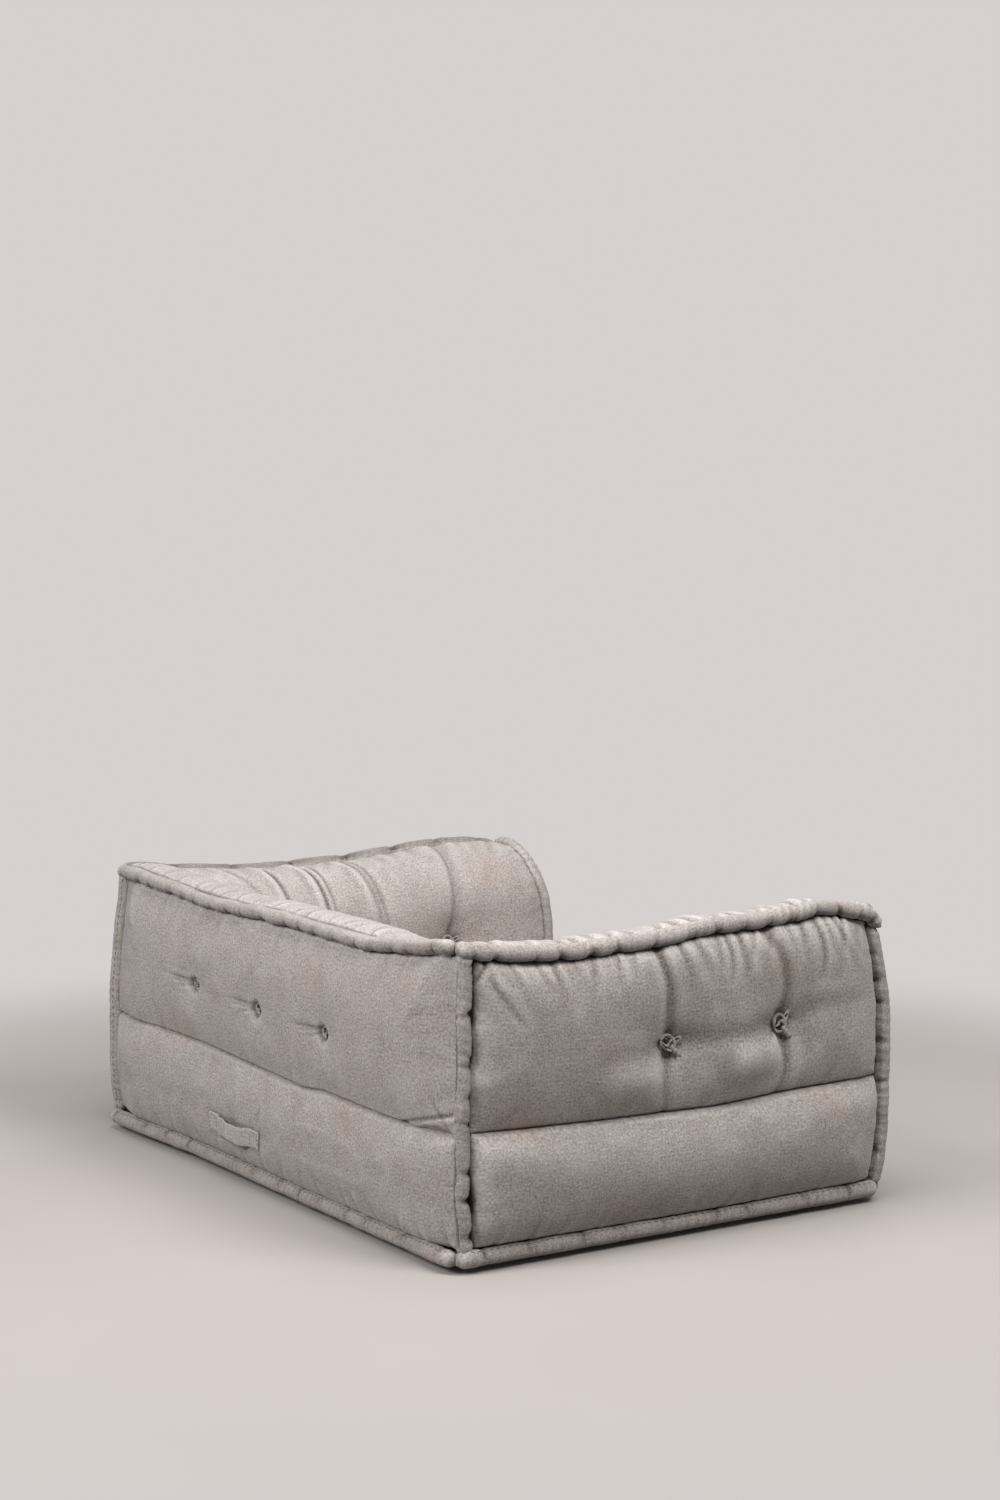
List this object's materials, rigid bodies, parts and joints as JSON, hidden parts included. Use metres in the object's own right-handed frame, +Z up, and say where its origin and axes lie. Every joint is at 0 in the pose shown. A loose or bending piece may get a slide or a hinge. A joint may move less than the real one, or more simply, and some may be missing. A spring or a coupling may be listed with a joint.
{
  "type": "floor sofa",
  "caption": "Low floor sofa with a back and arms on a full base, padded panels tied through with tufts, rolled mattress edges and a sewn carrying strap behind.",
  "frame": {"origin": "on the floor under the middle of the sofa, between its outer seams", "axes": "+Z up, -Y towards the open front, +X towards the sitter's left arm"},
  "size_m": [1.496, 1.112, 0.6156],
  "materials": {
    "linen": "washed linen, coarse slub weave, matt",
    "roll": "linen over stuffed roll, hand stitched",
    "rosette": "twisted linen scrap",
    "strap": "folded linen strap, stitched",
    "twine": "waxed tufting twine",
    "foam": "upholstery foam",
    "underside": "plain cotton"
  },
  "bodies": {
    "sofa": {"seat_core": "foam", "back_core": "foam", "right_arm_core": "foam", "left_arm_core": "foam", "bottom_cloth": "underside", "seat_top": "linen", "base_band_back": "linen", "base_band_right_arm": "linen", "base_band_left_arm": "linen", "base_band_front": "linen", "back_outer_panel": "linen", "right_arm_outer_panel": "linen", "left_arm_outer_panel": "linen", "back_inner_panel": "linen", "right_arm_inner_panel": "linen", "left_arm_inner_panel": "linen", "right_arm_end_panel": "linen", "left_arm_end_panel": "linen", "bottom_roll_back": "roll", "bottom_roll_right_arm": "roll", "bottom_roll_left_arm": "roll", "bottom_roll_front": "roll", "top_roll_back": "roll", "top_roll_right_arm": "roll", "top_roll_left_arm": "roll", "seat_front_roll": "roll", "corner_roll_rear_right": "roll", "corner_roll_rear_left": "roll", "corner_roll_front_right": "roll", "corner_roll_front_left": "roll", "end_roll_right_arm": "roll", "end_roll_left_arm": "roll", "outer_rosette_back_1": "rosette", "outer_rosette_back_2": "rosette", "outer_rosette_back_3": "rosette", "outer_rosette_right_arm_1": "rosette", "outer_rosette_right_arm_2": "rosette", "outer_rosette_left_arm_1": "rosette", "outer_rosette_left_arm_2": "rosette", "inner_rosette_back_1": "rosette", "inner_rosette_back_2": "rosette", "inner_rosette_back_3": "rosette", "inner_rosette_right_arm_1": "rosette", "inner_rosette_right_arm_2": "rosette", "inner_rosette_left_arm_1": "rosette", "inner_rosette_left_arm_2": "rosette", "seat_rosette_1": "rosette", "seat_rosette_2": "rosette", "seat_rosette_3": "rosette", "seat_rosette_4": "rosette", "twine_back_1": "twine", "twine_back_2": "twine", "twine_back_3": "twine", "twine_right_arm_1": "twine", "twine_right_arm_2": "twine", "twine_left_arm_1": "twine", "twine_left_arm_2": "twine", "strap_end_right": "strap", "strap_end_left": "strap"},
    "strap": {"strap_grip": "strap"}
  },
  "joints": [
    {"name": "strap_pull", "type": "slide", "parent": "sofa", "child": "strap", "axis": [0, 1, 0], "range_m": [0, 0.012], "deforming": ["strap_end_right", "strap_end_left"]}
  ]
}
